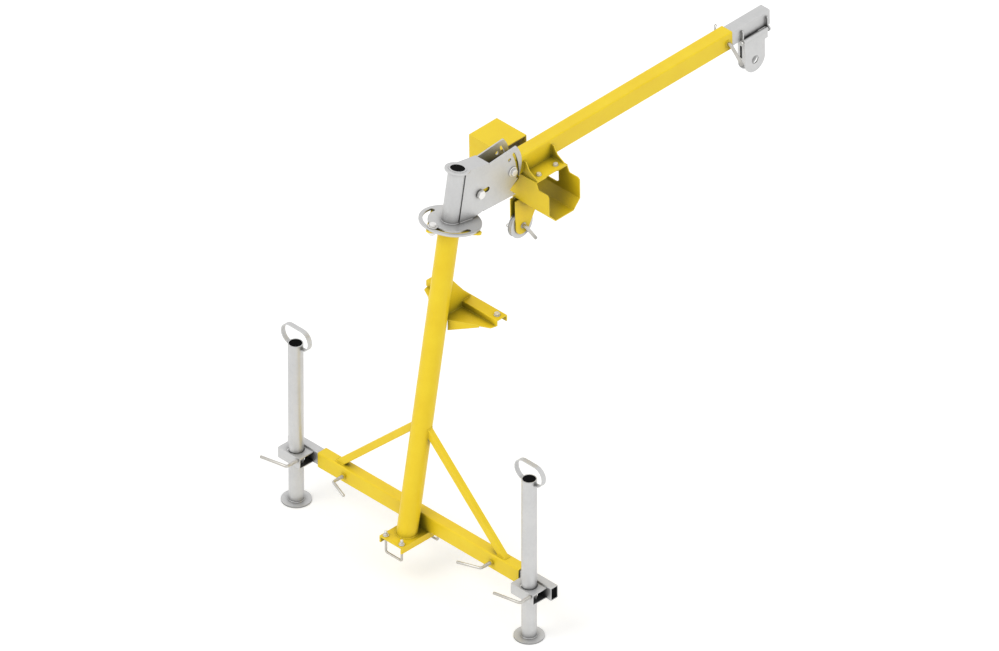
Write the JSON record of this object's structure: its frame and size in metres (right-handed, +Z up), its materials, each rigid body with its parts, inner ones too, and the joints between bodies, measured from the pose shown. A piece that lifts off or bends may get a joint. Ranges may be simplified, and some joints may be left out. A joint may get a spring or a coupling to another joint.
{
  "type": "forestry crane",
  "caption": "Small trailer-mounted forestry crane with screw-clamped sliding legs, a leaning mast, a swivelling head, a tilting telescopic boom, a winch seat and a hinged tip block.",
  "frame": {"origin": "middle of the base plate's underside, midway between the two drawbar U-bolts", "axes": "+Y along the boom at rest, +X along the crossbeam to the side that carries the winch mouth, +Z up"},
  "size_m": [1.424, 2.0377, 1.7474],
  "materials": {
    "yellow_paint": "satin powder coat",
    "galvanised_steel": "silky hot-dip galvanised",
    "plated_hardware": "bright zinc plated",
    "black_plastic": "matt moulded plastic"
  },
  "bodies": {
    "frame": {"base_plate": "yellow_paint", "drawbar_u_bolts": "plated_hardware", "u_bolt_nuts": "plated_hardware", "crossbeam": "yellow_paint", "brace_left": "yellow_paint", "brace_right": "yellow_paint", "mast": "yellow_paint", "mast_flange": "yellow_paint", "load_bracket": "yellow_paint", "load_bracket_bolts": "plated_hardware", "swivel_stop_bolt": "plated_hardware"},
    "head": {"head_disc": "galvanised_steel", "head_tube": "galvanised_steel", "head_plug": "black_plastic", "head_top_plate": "galvanised_steel", "cheek_left": "galvanised_steel", "cheek_right": "galvanised_steel", "boom_pivot_bolt": "plated_hardware", "boom_lock_bolt": "plated_hardware"},
    "boom": {"boom_tube": "yellow_paint", "winch_shelf": "yellow_paint", "winch_trough": "yellow_paint", "winch_hood": "yellow_paint", "winch_bolts": "plated_hardware", "pulley_plates": "yellow_paint", "pulley_pin": "plated_hardware", "pulley_clip": "plated_hardware", "boom_pin": "plated_hardware", "boom_pin_clip": "plated_hardware"},
    "rope_pulley": {"pulley": "galvanised_steel"},
    "telescope": {"inner_boom": "galvanised_steel", "tip_hinge_rod": "plated_hardware"},
    "tip": {"tip_block": "galvanised_steel"},
    "outrigger_left": {"outrigger_tube_left": "galvanised_steel", "outrigger_plug_left": "black_plastic", "leg_bracket_left": "galvanised_steel", "clamp_shoe_left": "galvanised_steel"},
    "leg_left": {"leg_tube_left": "galvanised_steel", "leg_foot_left": "galvanised_steel", "leg_handle_left": "galvanised_steel", "leg_plug_left": "black_plastic"},
    "beam_clamp_left": {"beam_screw_left": "plated_hardware"},
    "leg_clamp_left": {"leg_screw_left": "plated_hardware"},
    "outrigger_right": {"outrigger_tube_right": "galvanised_steel", "outrigger_plug_right": "black_plastic", "leg_bracket_right": "galvanised_steel", "clamp_shoe_right": "galvanised_steel"},
    "leg_right": {"leg_tube_right": "galvanised_steel", "leg_foot_right": "galvanised_steel", "leg_handle_right": "galvanised_steel", "leg_plug_right": "black_plastic"},
    "beam_clamp_right": {"beam_screw_right": "plated_hardware"},
    "leg_clamp_right": {"leg_screw_right": "plated_hardware"}
  },
  "joints": [
    {"name": "head_swivel", "type": "hinge", "parent": "frame", "child": "head", "pos_m": [0, -0.0265, 0.006], "axis": [0, 0.1736, 0.9848], "range_deg": [-85, 85]},
    {"name": "boom_tilt", "type": "hinge", "parent": "head", "child": "boom", "pos_m": [0, 0.33, 1.427], "axis": [1, 0, 0], "range_deg": [0, 20]},
    {"name": "boom_extension", "type": "slide", "parent": "boom", "child": "telescope", "axis": [0, 0.9998, 0.0175], "range_m": [0, 0.35]},
    {"name": "tip_swing", "type": "hinge", "parent": "telescope", "child": "tip", "pos_m": [0.036, 1.82021, 1.42801], "axis": [0, -0.9998, -0.0175], "range_deg": [0, 70]},
    {"name": "pulley_spin", "type": "hinge", "parent": "boom", "child": "rope_pulley", "pos_m": [0, 0.58497, 1.14441], "axis": [1, 0, 0], "continuous": true},
    {"name": "outrigger_left_slide", "type": "slide", "parent": "frame", "child": "outrigger_left", "axis": [-1, 0, 0], "range_m": [-0.02, 0.25]},
    {"name": "leg_left_slide", "type": "slide", "parent": "outrigger_left", "child": "leg_left", "axis": [0, 0, 1], "range_m": [-0.45, 0.17]},
    {"name": "beam_screw_left_turn", "type": "hinge", "parent": "frame", "child": "beam_clamp_left", "pos_m": [-0.4, 0.02, 0.041], "axis": [0, 1, 0], "continuous": true},
    {"name": "leg_screw_left_turn", "type": "hinge", "parent": "outrigger_left", "child": "leg_clamp_left", "pos_m": [-0.585, -0.0378, 0.053], "axis": [0, 1, 0], "continuous": true},
    {"name": "outrigger_right_slide", "type": "slide", "parent": "frame", "child": "outrigger_right", "axis": [1, 0, 0], "range_m": [-0.02, 0.25]},
    {"name": "leg_right_slide", "type": "slide", "parent": "outrigger_right", "child": "leg_right", "axis": [0, 0, 1], "range_m": [-0.45, 0.17]},
    {"name": "beam_screw_right_turn", "type": "hinge", "parent": "frame", "child": "beam_clamp_right", "pos_m": [0.4, 0.02, 0.041], "axis": [0, 1, 0], "continuous": true},
    {"name": "leg_screw_right_turn", "type": "hinge", "parent": "outrigger_right", "child": "leg_clamp_right", "pos_m": [0.677, -0.0378, 0.053], "axis": [0, 1, 0], "continuous": true}
  ]
}
